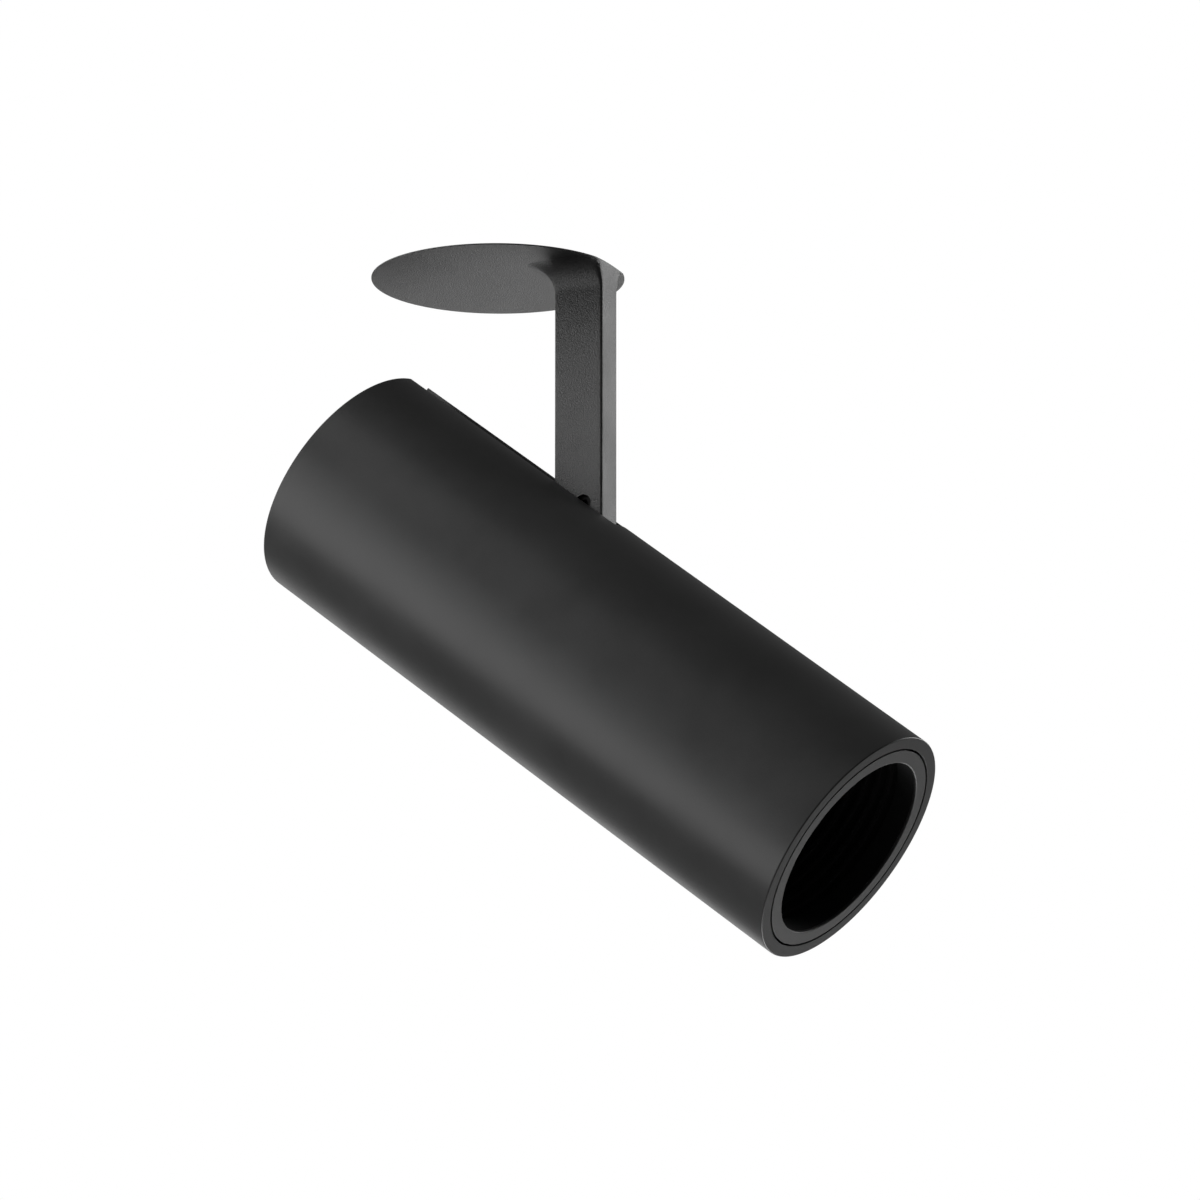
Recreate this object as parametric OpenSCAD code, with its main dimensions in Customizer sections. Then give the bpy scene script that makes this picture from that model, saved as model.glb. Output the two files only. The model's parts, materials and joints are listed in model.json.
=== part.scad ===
// Ceiling spot on a fold-away arm.
// A thin round disc lies against the ceiling. A flat arm hangs from its rim and
// enters a slot in the rear of a round tube, which tilts on two pivot screws.
// Folded straight down, the tube hangs under the disc and swallows the arm.
// Origin: centre of the fixing plate's top face, which lies on the ceiling.
// +Z up, +X from the disc's centre to the arm. Millimetres.

/* [Ceiling disc] */
// How far the disc's rim stands out beyond the tube
disc_overhang = 0.7; // [0.4:0.1:4]
// Thickness of the disc at its rim
rim_t = 0.3; // [0.3:0.1:1.2]
// Thickness of the disc over its hub
hub_t = 2.6; // [2.4:0.1:3.4]
// Diameter of the hub on top of the disc
hub_d = 44; // [36:1:50]
// Metal left under the hub's pocket and grooves
skin_t = 0.7; // [0.5:0.1:0.9]

/* [Arm] */
// Depth of the arm along the disc's radius
arm_w = 12.4; // [11:0.2:14]
// Thickness of the arm across the tube's slot
arm_t = 9; // [8:0.2:9.6]
// How far the arm's outer corners lie inside the tube's surface when folded
arm_inset = 0.05; // [0:0.05:1]
// Radius of the fillets where the arm flares into the disc
fillet_r = 6.8; // [4:0.2:7.2]
// Height from the disc's underside down to the pivot
pivot_drop = 66; // [62:0.2:80]
// How far the pivot lies inside the arm's outer face
pivot_inset = 7.5; // [6.8:0.1:8.4]
// Diameter of the lead bore along the arm
lead_bore_d = 3.8; // [3.2:0.1:4.2]

/* [Tube] */
// Outer diameter of the tube
tube_d = 60; // [58:0.5:64]
// Length of the tube
tube_l = 162; // [155:0.2:190]
// Wall of the tube
tube_wall = 3; // [2:0.1:3.4]
// Gap between the disc and the tube's back end when the tube hangs straight down
fold_gap = 6; // [5.6:0.1:8]
// Tilt of the tube from straight down, as it stands at rest
tilt = 52.6; // [0:0.1:90]

/* [Front] */
// Width of the front ring's face
front_ring_w = 3.5; // [2.5:0.1:6]
// Depth of the front ring
front_ring_l = 5.3; // [4:0.1:8]
// Gap between the front ring and the tube
front_gap = 0.35; // [0.2:0.05:0.6]
// Thickness of the front ring's face
ring_face_t = 0.8; // [0.6:0.1:2]

/* [Swivel] */
// Diameter of the fixing plate on the ceiling
plate_d = 30; // [29:0.5:36]
// Thickness of the fixing plate
plate_t = 1.2; // [1:0.1:2]
// Distance between the two tapped fixing holes
fixing_pitch = 22; // [20:0.5:24]
// Diameter of the tapped fixing holes
fixing_hole_d = 2.5; // [2:0.1:3.3]
// Diameter of the hollow stud that the disc turns on
stud_d = 10; // [9.4:0.1:10.4]
// Diameter of the stud's cable bore
stud_bore_d = 7.8; // [7:0.1:8]
// How far the disc turns either way from rest, in degrees
turn_limit = 170; // [165:1:171]

/* [Light engine] */
// Share of the tube's spare length that the heat sink takes
sink_share = 0.48; // [0.3:0.01:0.55]
// Number of heat sink fins
fin_count = 19; // [13:2:23]
// Diameter of the LED board
board_d = 28; // [26:0.5:30]
// Diameter of the light-emitting surface
emitter_d = 15; // [10:0.5:16]
// Share of the tube's spare length that the reflector takes, with the rest for the snoot
reflector_share = 0.31; // [0.2:0.01:0.35]

/* [Hidden] */
$fn = 96;

// Overrun of every cut
cut = 1;
// Gap between faces that turn against each other
run_gap = 0.05;
// Radial gap of fixed pins, screws and liners in their seats
fit_gap = 0.05;
// Side gap between a part and the bore that it slides into
slide_gap = 0.2;

// Swivel pieces
friction_t = 0.4;
friction_r = 7.4;
bush_flange_t = 0.6;
bush_flange_r = 7.2;
bush_wall = 1.1;
wave_t = 0.4;
nut_t = 1.8;
nut_r = 7.5;
nut_slot_w = 1.6;
nut_slot_depth = 0.9;
stop_pin_d = 2;
stop_edge = 2.75;
stop_dip = 0.6;
stop_groove_side = 0.25;
contact_r = 0.45;
contact_pitch = 3;
contact_depth = 2.5;

// Lead in the bracket
wire_d = 1.2;
wire_pitch = 1.3;
wire_lift = 0.1;
lead_bend_r = 2.6;
lead_groove_w = 2.8;
lead_side = 0.8;
grip_screw_d = 4;
grip_recess = 0.8;
grip_hex_r = 1.1;
grip_hex_depth = 1.2;
grip_out = 1.2;
grip_up = 7.1;
grip_tip_gap = 0.05;
grommet_wall = 0.45;
grommet_l = 2.4;
arm_end_r = arm_w / 2;
fillet_sink = 0.05;
flare_top = 0.3;

// Rear end of the head
slot_gap = 0.3;
slot_end_gap = 0.5;
cap_t = 3;
cap_in = 0.8;
cap_screw_head_d = 5.5;
cap_screw_head_t = 1.6;
screw_d = 2.9;
tapped_d = 3;
cap_screw_l = 9;
socket_r = 1.15;
socket_depth = 0.9;
standoff_d = 6;
standoff_edge = 8;
standoff_turn = 95;
standoff_spigot = 3.6;

// Pivot
pivot_pin_d = 4;
pivot_pin_reach = 2.0;
pivot_hole_depth = 2.05;
pivot_running_gap = 0.05;
pivot_washer_t = 0.4;
pivot_washer_d = 8;
cheek_t = 2;
cheek_w = 13;
cheek_cap_r = 6.5;
pivot_head_t = 1.4;
pivot_spring_t = 0.4;

// Ring, yoke plate and heat sink
ring_land = 1.4;
ring_t = 1.2;
ring_bite = 0.9;
ring_reach = 2.2;
ring_mouth = 24;
yoke_t = 4;
yoke_screw_head_d = 5.5;
yoke_screw_head_t = 1.8;
yoke_screw_l = 11;
yoke_screw_r = 9.5;
yoke_screw_count = 3;
lead_hole_x = -10.5;
lead_hole_d = 5;
sink_base_t = 6;
sink_core_r = 13;
fin_t = 1.4;
fin_inset = 0.8;
rib_t = 2;
rib_w = 2.5;

// Light engine pieces
pad_t = 0.5;
board_t = 1.6;
emitter_t = 1;
emitter_frame = 1.2;
holder_t = 7.1;
holder_d = 38;
holder_screw_y = 16.5;
holder_screw_l = 10;
holder_pocket_t = 2;
holder_cone = 1.5;
wire_pass_d = 1.5;
wire_stub = 0.4;
wire_spread_share = 0.75;
reflector_t = 1;
reflector_flange_t = 1;
reflector_steps = 6;
glass_t = 2;
gasket_t = 1.2;
gasket_w = 3;
spacer_wall = 2;
snoot_grooves = 5;
snoot_groove_depth = 0.9;
snoot_tooth_share = 0.35;
snoot_nose_w = 1.2;

// Places worked out from the sizes above
hub_r = hub_d / 2;
tube_r = tube_d / 2;
disc_r = tube_r + disc_overhang;
stop_r = plate_d / 2 - stop_edge;
bore_r = tube_r - tube_wall;
stud_r = stud_d / 2;
disc_z = -(plate_t + run_gap + friction_t + hub_t);
hub_z = disc_z + hub_t;
nut_z = bush_flange_t + run_gap + wave_t;
stud_top = nut_z + nut_t;
arm_out = sqrt(pow(tube_r, 2) - pow(arm_t / 2, 2)) - arm_inset;
arm_mid = arm_out - arm_w / 2;
arm_in = arm_out - arm_w;
pivot_x = arm_out - pivot_inset;
pivot_z = disc_z - pivot_drop;
lead_x = arm_mid + lead_side;
lead_z = disc_z + skin_t + wire_lift + wire_d / 2;
land_w = 2 * (stop_r * sin(180 - turn_limit) - stop_pin_d / 2 - run_gap);
back_z = disc_z - fold_gap;
pivot_s = back_z - pivot_z;
slot_half = arm_t / 2 + slot_gap;
slot_end = pivot_s + pivot_inset + slot_end_gap;
ring_s = slot_end + ring_land;
yoke_s = ring_s + ring_t;
sink_s = yoke_s + yoke_t;
front_s = tube_l - front_ring_l;
spare_l = front_s - sink_s - holder_t - reflector_flange_t - glass_t - gasket_t;
sink_l = spare_l * sink_share;
reflector_l = spare_l * reflector_share;
rib_s = sink_s + sink_l;
board_s = rib_s + pad_t;
emitter_s = board_s + board_t;
holder_end = rib_s + holder_t;
flange_s = holder_end + reflector_l;
glass_s = flange_s + reflector_flange_t;
gasket_s = glass_s + glass_t;
snoot_s = gasket_s + gasket_t;
optic_r = bore_r - front_gap;
opening_r = optic_r - front_ring_w;
cheek_y = arm_t / 2 + pivot_washer_t + 2 * run_gap;
head_y = cheek_y + cheek_t + pivot_spring_t;
pivot_head_r = sqrt(pow(bore_r - slide_gap, 2) - pow(head_y + pivot_head_t, 2)) - pivot_x;
standoff_x = (bore_r - standoff_edge) * cos(standoff_turn);
standoff_y = (bore_r - standoff_edge) * sin(standoff_turn);
head_wire_y = wire_pitch * wire_spread_share;

// Turns what follows with the head: it is drawn hanging straight down, folded
module in_head() {
    translate([pivot_x, 0, pivot_z]) rotate([0, -tilt, 0]) translate([-pivot_x, 0, -pivot_z]) children();
}

// Round piece between two places along the tube, counted from its back end
module rod(from, to, r, x = 0, y = 0) {
    translate([x, y, back_z - to]) cylinder(h = to - from, r = r);
}

// Round piece with a bore, between two places along the tube
module sleeve(from, to, r, bore) {
    difference() {
        rod(from, to, r);
        rod(from - cut, to + cut, bore);
    }
}

// Box between two places along the tube
module block(from, to, x0, x1, y0, y1) {
    translate([x0, y0, back_z - to]) cube([x1 - x0, y1 - y0, to - from]);
}

// Cylinder along Y from y0 to y1, at a place in the arm's plane
module cross_pin(x, z, y0, y1, r) {
    translate([x, y0, z]) rotate([-90, 0, 0]) cylinder(h = y1 - y0, r = r);
}

// Ceiling side

module fixing_plate() {
    color("#8d9094") difference() {
        translate([0, 0, -plate_t]) cylinder(h = plate_t, d = plate_d);
        translate([0, 0, -plate_t - cut]) cylinder(h = plate_t + 2 * cut, r = stud_r + bush_wall + fit_gap);
        for (side = [-1, 1])
            translate([side * fixing_pitch / 2, 0, -plate_t - cut])
                cylinder(h = plate_t + 2 * cut, d = fixing_hole_d);
        translate([0, stop_r, -plate_t - cut]) cylinder(h = plate_t + 2 * cut, d = stop_pin_d + 2 * fit_gap);
    }
}

module swivel_bush() {
    color("#e6e4de") difference() {
        union() {
            translate([0, 0, -plate_t]) cylinder(h = plate_t, r = stud_r + bush_wall);
            cylinder(h = bush_flange_t, r = bush_flange_r);
        }
        translate([0, 0, -plate_t - cut])
            cylinder(h = plate_t + bush_flange_t + 2 * cut, r = stud_r + pivot_running_gap);
    }
}

module stop_pin() {
    pin_foot = hub_z - stop_dip;
    color("#a9abae") translate([0, stop_r, pin_foot]) cylinder(h = -pin_foot, d = stop_pin_d);
}

// Disc, arm and what they carry

// The disc, cut flat at the arm's outer face
module disc_blank() {
    difference() {
        translate([0, 0, disc_z]) rotate_extrude()
            polygon([[0, 0], [disc_r, 0], [disc_r, rim_t], [hub_r, hub_t], [0, hub_t]]);
        translate([arm_out, -disc_r, disc_z - cut]) cube([disc_r, 2 * disc_r, hub_t + 2 * cut]);
    }
}

// What is cut away beside one face of the arm, with the fillet's curve at its top.
// The face lies at zero and the cut reaches towards +Y
module fillet_cut(length) {
    curve_z = disc_z + fillet_sink - fillet_r;
    reach = fillet_r + cut;
    translate([0, fillet_r, curve_z]) rotate([0, 90, 0]) cylinder(h = length, r = fillet_r);
    translate([0, 0, pivot_z - arm_w]) cube([length, reach, curve_z - pivot_z + arm_w]);
}

// The arm with its top flared into the disc on three sides
module arm_blank() {
    wide = arm_t + 2 * fillet_r;
    deep = arm_w + fillet_r;
    top = disc_z + fillet_sink + flare_top;
    intersection() {
        difference() {
            translate([arm_in - fillet_r, -wide / 2, pivot_z]) cube([deep, wide, top - pivot_z]);
            for (side = [0, 1])
                mirror([0, side, 0]) translate([arm_in - fillet_r - cut, arm_t / 2, 0]) fillet_cut(deep + 2 * cut);
            translate([arm_in, -wide / 2 - cut, 0]) rotate([0, 0, 90]) fillet_cut(wide + 2 * cut);
        }
        translate([0, 0, pivot_z - cut]) cylinder(h = pivot_drop + hub_t + 2 * cut, r = disc_r);
    }
    cross_pin(arm_mid, pivot_z, -arm_t / 2, arm_t / 2, arm_end_r);
}

// Ring groove for the stop pin, with one land left standing in it
module stop_groove() {
    groove_w = stop_pin_d / 2 + stop_groove_side;
    groove_z = hub_z - stop_dip - run_gap;
    difference() {
        translate([0, 0, groove_z]) cylinder(h = stop_dip + run_gap + cut, r = stop_r + groove_w);
        translate([0, 0, groove_z - cut]) cylinder(h = stop_dip + 3 * cut, r = stop_r - groove_w);
        translate([-land_w / 2, -stop_r - groove_w - cut, groove_z - cut])
            cube([land_w, 2 * groove_w + 2 * cut, stop_dip + 3 * cut]);
    }
}

module disc_arm() {
    pocket_z = disc_z + skin_t;
    color("#3b3b3c") difference() {
        union() {
            disc_blank();
            arm_blank();
        }
        translate([0, 0, pocket_z]) cylinder(h = hub_t + cut, r = stud_r + fit_gap);
        translate([0, -lead_groove_w / 2, pocket_z]) cube([lead_x, lead_groove_w, hub_t + cut]);
        stop_groove();
        translate([arm_mid, 0, pivot_z - arm_w]) cylinder(h = pivot_drop + arm_w + hub_t + cut, d = lead_bore_d);
        translate([arm_mid, 0, pivot_z - arm_w])
            cylinder(h = arm_w - arm_end_r + grommet_l, d = lead_bore_d + 2 * grommet_wall);
        for (side = [0, 1])
            mirror([0, side, 0]) cross_pin(pivot_x, pivot_z, arm_t / 2 - pivot_hole_depth, arm_t / 2 + cut,
                                           pivot_pin_d / 2 + pivot_running_gap);
        cross_pin(arm_mid + grip_out, pivot_z + grip_up, -arm_t / 2 - cut, 0, grip_screw_d / 2 + fit_gap);
    }
}

module swivel_stud() {
    foot = disc_z + skin_t;
    color("#b4b6b9") difference() {
        translate([0, 0, foot]) cylinder(h = stud_top - foot, r = stud_r);
        translate([0, 0, foot - cut]) cylinder(h = stud_top - foot + 2 * cut, d = stud_bore_d);
        translate([0, -lead_groove_w / 2, foot - cut]) cube([stud_d, lead_groove_w, hub_t - skin_t + cut]);
    }
}

module swivel_friction_washer() {
    color("#6d5a46") translate([0, 0, hub_z]) difference() {
        cylinder(h = friction_t, r = friction_r);
        translate([0, 0, -cut]) cylinder(h = friction_t + 2 * cut, r = stud_r + slide_gap);
    }
}

module swivel_wave_washer() {
    color("#c0c2c5") translate([0, 0, nut_z - wave_t]) difference() {
        cylinder(h = wave_t, r = bush_flange_r);
        translate([0, 0, -cut]) cylinder(h = wave_t + 2 * cut, r = stud_r + slide_gap);
    }
}

module swivel_nut() {
    color("#b4b6b9") translate([0, 0, nut_z]) difference() {
        cylinder(h = nut_t, r = nut_r);
        translate([0, 0, -cut]) cylinder(h = nut_t + 2 * cut, r = stud_r + fit_gap);
        for (turn = [0, 90])
            rotate([0, 0, turn]) translate([-nut_r - cut, -nut_slot_w / 2, nut_t - nut_slot_depth])
                cube([2 * (nut_r + cut), nut_slot_w, nut_slot_depth + cut]);
    }
}

module feed_socket() {
    foot = disc_z + skin_t;
    color("#d9d7d0") difference() {
        translate([0, 0, foot]) cylinder(h = stud_top - foot - wire_lift, d = stud_bore_d - 2 * fit_gap);
        for (side = [-1, 1])
            translate([0, side * contact_pitch / 2, stud_top - contact_depth])
                cylinder(h = contact_depth + cut, r = contact_r);
    }
}

// Two wires from the socket along the disc's groove and down the arm
module arm_lead() {
    start_x = stud_bore_d / 2 - fit_gap;
    foot_z = pivot_z - arm_end_r + wire_lift;
    color("#4a4a4c") for (side = [-1, 1]) translate([0, side * wire_pitch / 2, 0]) {
        translate([start_x, 0, lead_z]) rotate([0, 90, 0])
            cylinder(h = lead_x - lead_bend_r - start_x, d = wire_d);
        translate([lead_x - lead_bend_r, 0, lead_z - lead_bend_r]) rotate([90, 0, 0])
            rotate_extrude(angle = 90) translate([lead_bend_r, 0]) circle(d = wire_d);
        translate([lead_x, 0, foot_z]) cylinder(h = lead_z - lead_bend_r - foot_z, d = wire_d);
    }
}

module lead_grip_screw() {
    face = -arm_t / 2 + grip_recess;
    tip = -(wire_pitch + wire_d) / 2 - grip_tip_gap;
    color("#151516") difference() {
        cross_pin(arm_mid + grip_out, pivot_z + grip_up, face, tip, grip_screw_d / 2);
        translate([arm_mid + grip_out, face - cut, pivot_z + grip_up]) rotate([-90, 0, 0])
            cylinder(h = grip_hex_depth + cut, r = grip_hex_r, $fn = 6);
    }
}

module arm_grommet() {
    color("#2b2b2b") intersection() {
        translate([arm_mid, 0, pivot_z - arm_w]) difference() {
            cylinder(h = arm_w - arm_end_r + grommet_l, d = lead_bore_d + 2 * (grommet_wall - fit_gap));
            translate([0, 0, -cut]) cylinder(h = arm_w + grommet_l, d = lead_bore_d);
        }
        cross_pin(arm_mid, pivot_z, -arm_t / 2, arm_t / 2, arm_end_r);
    }
}

// Tube and rear end

module tube_housing() {
    color("#1d1d1e") in_head() difference() {
        rod(0, tube_l, tube_r);
        rod(-cut, rib_s, bore_r);
        rod(rib_s - cut, rib_s + rib_t + cut, bore_r - rib_w);
        rod(rib_s + rib_t, tube_l + cut, bore_r);
        rod(ring_s, yoke_s, bore_r + ring_bite);
        block(-cut, slot_end, 0, tube_d, -slot_half, slot_half);
    }
}

module rear_cap() {
    color("#222223") in_head() difference() {
        rod(cap_in, cap_in + cap_t, bore_r - slide_gap);
        block(0, cap_in + cap_t + cut, arm_in - slot_gap, tube_d, -slot_half, slot_half);
        for (side = [-1, 1]) {
            rod(0, cap_in + cap_t + cut, tapped_d / 2, standoff_x, side * standoff_y);
            rod(0, cap_in + cap_screw_head_t, cap_screw_head_d / 2 + fit_gap, standoff_x, side * standoff_y);
        }
    }
}

// Screw along the tube with its head towards the back and a hexagon socket in it
module head_screw(from, head_d, head_t, length, x, y) {
    difference() {
        union() {
            rod(from, from + head_t, head_d / 2, x, y);
            rod(from + head_t - fit_gap, from + length, screw_d / 2, x, y);
        }
        translate([x, y, back_z - from - socket_depth]) cylinder(h = socket_depth + cut, r = socket_r, $fn = 6);
    }
}

module rear_cap_screws() {
    color("#151516") in_head() for (side = [-1, 1])
        head_screw(cap_in, cap_screw_head_d, cap_screw_head_t, cap_screw_l, standoff_x, side * standoff_y);
}

module cap_standoffs() {
    color("#b0b2b5") in_head() for (side = [-1, 1]) difference() {
        union() {
            rod(cap_in + cap_t, yoke_s, standoff_d / 2, standoff_x, side * standoff_y);
            rod(yoke_s - fit_gap, yoke_s + standoff_spigot, screw_d / 2, standoff_x, side * standoff_y);
        }
        rod(cap_in + cap_t - cut, cap_in + cap_screw_l + cut, tapped_d / 2, standoff_x, side * standoff_y);
    }
}

// Pivot

// One ear of the yoke, on the +Y side
module yoke_cheek() {
    intersection() {
        union() {
            cross_pin(pivot_x, pivot_z, cheek_y, cheek_y + cheek_t, cheek_cap_r);
            block(pivot_s, yoke_s + cut, pivot_x + cheek_cap_r - cheek_w, pivot_x + cheek_cap_r,
                  cheek_y, cheek_y + cheek_t);
        }
        rod(0, yoke_s + yoke_t, bore_r - slide_gap);
    }
}

module pivot_yoke() {
    color("#9a9da1") in_head() difference() {
        union() {
            rod(yoke_s, yoke_s + yoke_t, bore_r - slide_gap);
            for (side = [0, 1]) mirror([0, side, 0]) yoke_cheek();
        }
        for (side = [0, 1]) mirror([0, side, 0])
            cross_pin(pivot_x, pivot_z, cheek_y - cut, cheek_y + cheek_t + cut, pivot_pin_d / 2 + fit_gap);
        for (i = [0 : yoke_screw_count - 1]) {
            turn = i * 360 / yoke_screw_count;
            rod(yoke_s - cut, yoke_s + yoke_t + cut, tapped_d / 2, yoke_screw_r * cos(turn), yoke_screw_r * sin(turn));
        }
        for (side = [-1, 1])
            rod(yoke_s - cut, yoke_s + yoke_t + cut, tapped_d / 2, standoff_x, side * standoff_y);
        rod(yoke_s - cut, yoke_s + yoke_t + cut, lead_hole_d / 2, lead_hole_x);
    }
}

module pivot_screws() {
    color("#1a1a1b") in_head() for (side = [0, 1]) mirror([0, side, 0]) difference() {
        union() {
            cross_pin(pivot_x, pivot_z, arm_t / 2 - pivot_pin_reach, head_y + fit_gap, pivot_pin_d / 2);
            cross_pin(pivot_x, pivot_z, head_y, head_y + pivot_head_t, pivot_head_r);
        }
        translate([pivot_x, head_y + pivot_head_t - socket_depth, pivot_z]) rotate([-90, 0, 0])
            cylinder(h = socket_depth + cut, r = socket_r, $fn = 6);
    }
}

// Pair of flat washers round the pivot, one on each side
module pivot_washer_pair(y, thickness, d) {
    for (side = [0, 1]) mirror([0, side, 0]) difference() {
        cross_pin(pivot_x, pivot_z, y, y + thickness, d / 2);
        cross_pin(pivot_x, pivot_z, y - cut, y + thickness + cut, pivot_pin_d / 2 + slide_gap);
    }
}

module pivot_friction_washers() {
    color("#c9c4b4") in_head() pivot_washer_pair(arm_t / 2 + run_gap, pivot_washer_t, pivot_washer_d);
}

module pivot_spring_washers() {
    color("#c0c2c5") in_head() pivot_washer_pair(cheek_y + cheek_t, pivot_spring_t, 2 * pivot_head_r);
}

module yoke_screws() {
    color("#151516") in_head() for (i = [0 : yoke_screw_count - 1]) {
        turn = i * 360 / yoke_screw_count;
        head_screw(yoke_s - yoke_screw_head_t, yoke_screw_head_d, yoke_screw_head_t, yoke_screw_l,
                   yoke_screw_r * cos(turn), yoke_screw_r * sin(turn));
    }
}

module yoke_grommet() {
    color("#2b2b2b") in_head() difference() {
        union() {
            rod(yoke_s - grommet_wall - fit_gap, yoke_s, lead_hole_d / 2 + grommet_wall, lead_hole_x);
            rod(yoke_s - fit_gap, yoke_s + yoke_t, lead_hole_d / 2 - fit_gap, lead_hole_x);
        }
        rod(yoke_s - yoke_t, yoke_s + yoke_t + cut, lead_hole_d / 2 - 2 * grommet_wall, lead_hole_x);
    }
}

module retaining_ring() {
    color("#a4a6a9") in_head() difference() {
        sleeve(ring_s + run_gap, yoke_s, bore_r + ring_bite - fit_gap, bore_r - ring_reach);
        block(ring_s - cut, yoke_s + cut, 0, tube_d, -ring_mouth / 2, ring_mouth / 2);
    }
}

// Light engine

module heat_sink() {
    color("#3a3a3c") in_head() difference() {
        union() {
            rod(rib_s - sink_base_t, rib_s, bore_r - slide_gap);
            rod(sink_s, rib_s, sink_core_r);
            intersection() {
                rod(sink_s, rib_s, bore_r - slide_gap - fin_inset);
                for (i = [0 : fin_count - 1])
                    rotate([0, 0, i * 360 / fin_count])
                        block(sink_s, rib_s, sink_core_r / 2, tube_r, -fin_t / 2, fin_t / 2);
            }
        }
        for (i = [0 : yoke_screw_count - 1]) {
            turn = i * 360 / yoke_screw_count;
            rod(sink_s - cut, sink_s + yoke_screw_l, tapped_d / 2, yoke_screw_r * cos(turn), yoke_screw_r * sin(turn));
        }
        for (side = [-1, 1]) rod(rib_s - holder_screw_l, rib_s + cut, tapped_d / 2, 0, side * holder_screw_y);
        rod(sink_s - cut, rib_s + cut, wire_pitch / 2 + wire_d, lead_hole_x);
    }
}

module thermal_pad() {
    color("#b9bcc4") in_head() difference() {
        rod(rib_s, rib_s + pad_t, board_d / 2);
        rod(rib_s - cut, board_s + cut, wire_pitch / 2 + wire_d, lead_hole_x);
    }
}

module led_board() {
    color("#e9e9e6") in_head() difference() {
        rod(board_s, board_s + board_t, board_d / 2);
        for (side = [-1, 1])
            rod(board_s - cut, emitter_s + cut, wire_pass_d / 2, lead_hole_x, side * head_wire_y);
    }
}

module led_emitter() {
    color("#e8c95a") in_head() rod(emitter_s, emitter_s + emitter_t, emitter_d / 2);
}

module led_holder() {
    color("#e4e3df") in_head() difference() {
        rod(rib_s, holder_end, holder_d / 2);
        rod(rib_s - cut, emitter_s + fit_gap, board_d / 2 + fit_gap);
        rod(emitter_s, emitter_s + holder_pocket_t, board_d / 2 - holder_cone);
        translate([0, 0, back_z - holder_end - fit_gap])
            cylinder(h = holder_t, r1 = emitter_d / 2 + emitter_frame + holder_cone, r2 = emitter_d / 2 + emitter_frame);
        for (side = [-1, 1]) {
            rod(rib_s - cut, holder_end + cut, tapped_d / 2, 0, side * holder_screw_y);
            rod(holder_end - cap_screw_head_t, holder_end + cut, cap_screw_head_d / 2 + fit_gap, 0, side * holder_screw_y);
        }
    }
}

module holder_screws() {
    color("#b4b6b9") in_head() for (side = [-1, 1]) difference() {
        union() {
            rod(holder_end - cap_screw_head_t, holder_end, cap_screw_head_d / 2, 0, side * holder_screw_y);
            rod(rib_s - holder_screw_l + cut, holder_end - cap_screw_head_t + fit_gap, screw_d / 2, 0, side * holder_screw_y);
        }
        rod(holder_end - socket_depth, holder_end + cut, socket_r, 0, side * holder_screw_y);
    }
}

// Two wires from the yoke's grommet through the heat sink to the board
module head_lead() {
    color("#4a4a4c") in_head() for (side = [-1, 1])
        rod(yoke_s - grommet_wall, emitter_s + wire_stub, wire_d / 2, lead_hole_x, side * head_wire_y);
}

module optic_spacer() {
    color("#2a2a2b") in_head() sleeve(rib_s + rib_t, flange_s, optic_r, optic_r - spacer_wall);
}

// Radius of the reflector's outside at a share of its length: a parabola
function reflector_r(share) =
    let (small = emitter_d / 2 + emitter_frame + holder_cone, big = optic_r - gasket_w - reflector_t)
    sqrt(pow(small, 2) + (pow(big, 2) - pow(small, 2)) * share);

module reflector() {
    outside = [for (i = [0 : reflector_steps])
        [reflector_r(i / reflector_steps) + reflector_t, -i * reflector_l / reflector_steps]];
    inside = [for (i = [reflector_steps : -1 : 0])
        [reflector_r(i / reflector_steps), -i * reflector_l / reflector_steps]];
    big = reflector_r(1);
    color("#c9cbd0") in_head() {
        translate([0, 0, back_z - holder_end]) rotate_extrude() polygon(concat(outside, inside));
        sleeve(flange_s, glass_s, optic_r, big);
    }
}

module front_glass() {
    color("#cfd6da", 0.35) in_head() rod(glass_s, glass_s + glass_t, optic_r);
}

module glass_gasket() {
    color("#3a3a3a") in_head() sleeve(gasket_s, snoot_s, optic_r, optic_r - gasket_w);
}

module snoot() {
    pitch = (front_s - snoot_s) / snoot_grooves;
    tooth = pitch * snoot_tooth_share;
    color("#101011") in_head() difference() {
        sleeve(snoot_s, tube_l - ring_face_t, optic_r, opening_r);
        for (i = [0 : snoot_grooves - 1])
            rod(snoot_s + (i * pitch + tooth / 2), snoot_s + (i + 1) * pitch - tooth / 2,
                opening_r + snoot_groove_depth);
        sleeve(front_s, tube_l, optic_r + cut, opening_r + snoot_nose_w - fit_gap);
    }
}

module front_ring() {
    color("#3a3a3b") in_head() difference() {
        sleeve(front_s, tube_l, optic_r, opening_r);
        rod(front_s - cut, tube_l - ring_face_t, opening_r + snoot_nose_w);
    }
}

fixing_plate();
swivel_bush();
stop_pin();
disc_arm();
swivel_stud();
swivel_friction_washer();
swivel_wave_washer();
swivel_nut();
feed_socket();
arm_lead();
lead_grip_screw();
arm_grommet();
tube_housing();
rear_cap();
rear_cap_screws();
cap_standoffs();
pivot_yoke();
pivot_screws();
pivot_friction_washers();
pivot_spring_washers();
yoke_screws();
yoke_grommet();
retaining_ring();
heat_sink();
thermal_pad();
led_board();
led_emitter();
led_holder();
holder_screws();
head_lead();
optic_spacer();
reflector();
front_glass();
glass_gasket();
snoot();
front_ring();
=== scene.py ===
"""A fold-away ceiling spot: thin disc, flat arm and tilting tube, lit softly on white."""
import json
import math

import bmesh
import bpy
from mathutils import Matrix, Vector


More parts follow.
